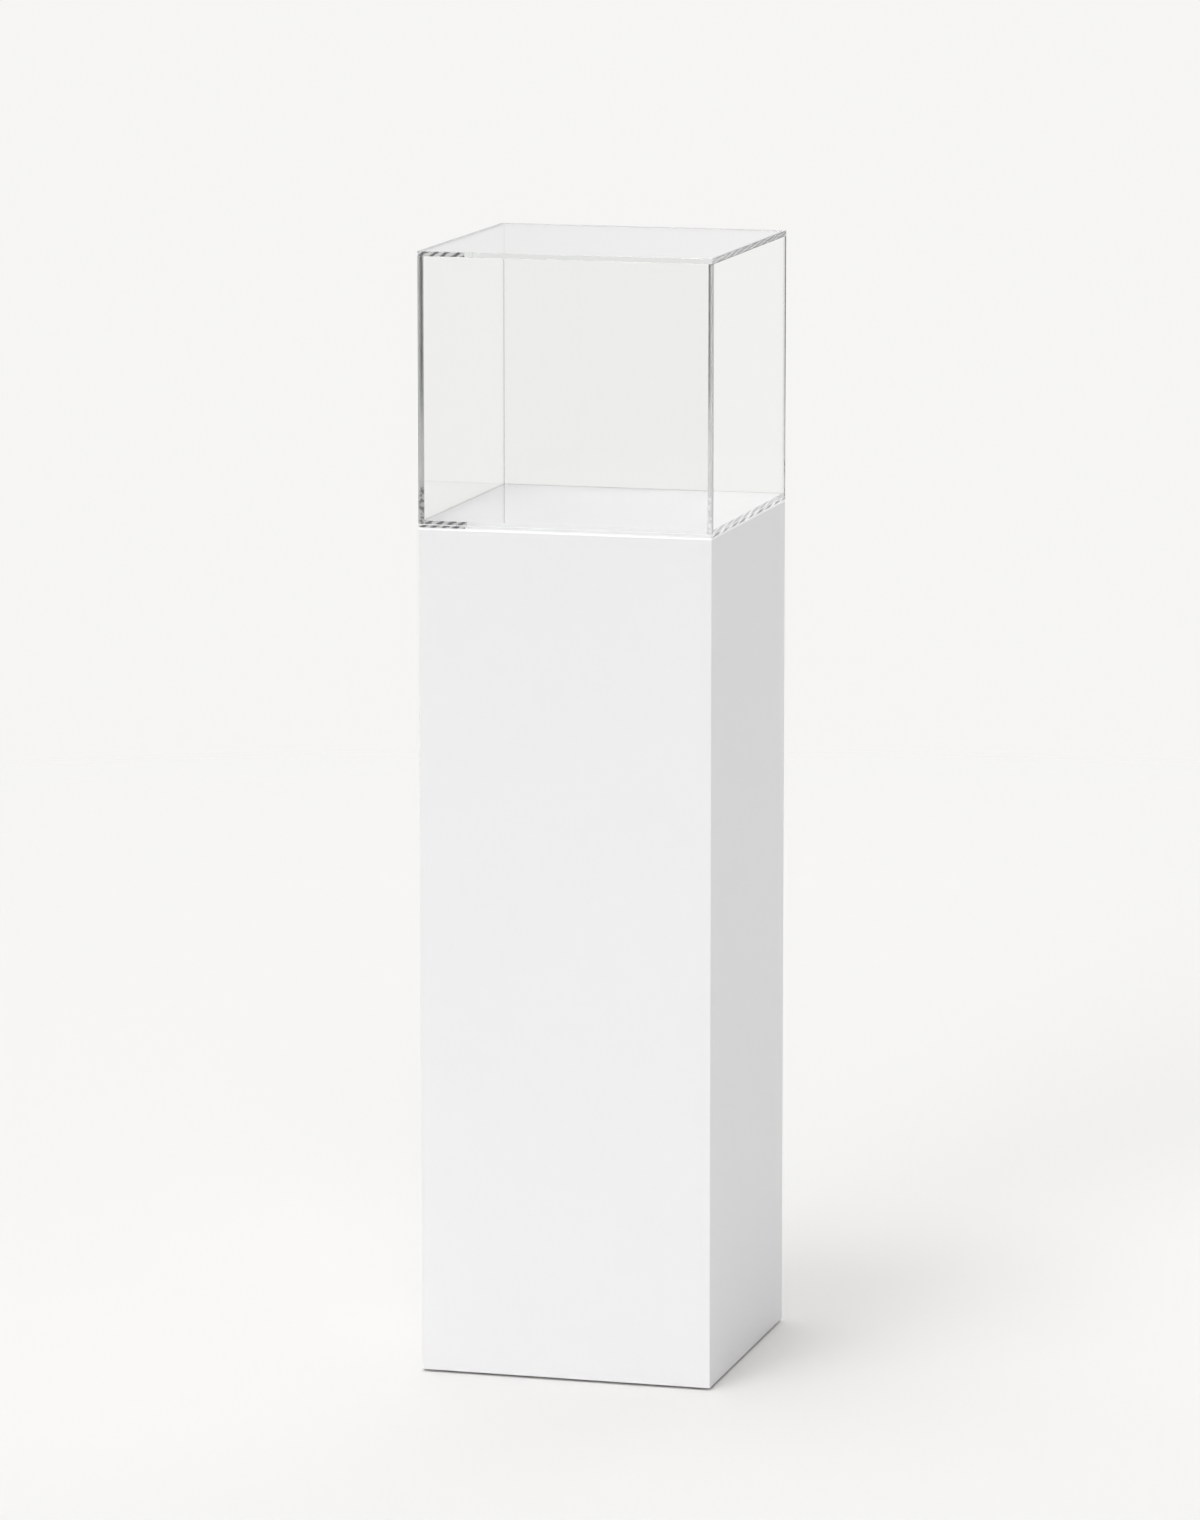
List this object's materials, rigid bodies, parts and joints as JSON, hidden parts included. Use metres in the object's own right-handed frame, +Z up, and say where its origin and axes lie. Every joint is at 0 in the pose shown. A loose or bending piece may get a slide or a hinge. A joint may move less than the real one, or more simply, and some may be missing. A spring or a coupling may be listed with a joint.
{
  "type": "pedestal display case",
  "caption": "Tall square white plinth with a clear box on top: the clear cover stands in a rebate and lifts off for access, and recessed screw feet level the plinth.",
  "frame": {"origin": "on the floor, below the middle of the plinth, at the underside of the levelling feet", "axes": "+Z is up; the front face looks towards -Y and the right face towards +X"},
  "size_m": [0.35, 0.35, 1.323],
  "materials": {
    "white_lacquer": "white satin lacquer on fibreboard",
    "softwood": "planed, bare",
    "beech": "compressed, bare",
    "zinc_steel": "bright zinc plate",
    "black_nylon": "moulded, fine texture",
    "clear_acrylic": "clear, polished edges"
  },
  "bodies": {
    "plinth": {"front_panel": "white_lacquer", "right_panel": "white_lacquer", "back_panel": "white_lacquer", "left_panel": "white_lacquer", "top_panel": "white_lacquer", "base_board": "white_lacquer", "batten_front_left": "softwood", "batten_front_right": "softwood", "batten_back_right": "softwood", "batten_back_left": "softwood", "cleat_front": "softwood", "cleat_right": "softwood", "cleat_back": "softwood", "cleat_left": "softwood", "corner_biscuits": "beech", "top_biscuits": "beech", "base_screws": "zinc_steel", "cleat_screws": "zinc_steel", "insert_nuts": "zinc_steel", "case_base": "clear_acrylic"},
    "cover": {"case_front": "clear_acrylic", "case_back": "clear_acrylic", "case_left": "clear_acrylic", "case_right": "clear_acrylic", "case_top": "clear_acrylic"},
    "foot_front_left": {"foot_pad_front_left": "black_nylon", "foot_stem_front_left": "zinc_steel"},
    "foot_front_right": {"foot_pad_front_right": "black_nylon", "foot_stem_front_right": "zinc_steel"},
    "foot_back_right": {"foot_pad_back_right": "black_nylon", "foot_stem_back_right": "zinc_steel"},
    "foot_back_left": {"foot_pad_back_left": "black_nylon", "foot_stem_back_left": "zinc_steel"}
  },
  "joints": [
    {"name": "cover_lift", "type": "slide", "parent": "plinth", "child": "cover", "axis": [0, 0, 1], "range_m": [0, 0.35]},
    {"name": "foot_front_left_travel", "type": "slide", "parent": "plinth", "child": "foot_front_left", "axis": [0, 0, -1], "range_m": [-0.003, 0.012]},
    {"name": "foot_front_right_travel", "type": "slide", "parent": "plinth", "child": "foot_front_right", "axis": [0, 0, -1], "range_m": [-0.003, 0.012]},
    {"name": "foot_back_right_travel", "type": "slide", "parent": "plinth", "child": "foot_back_right", "axis": [0, 0, -1], "range_m": [-0.003, 0.012]},
    {"name": "foot_back_left_travel", "type": "slide", "parent": "plinth", "child": "foot_back_left", "axis": [0, 0, -1], "range_m": [-0.003, 0.012]}
  ]
}
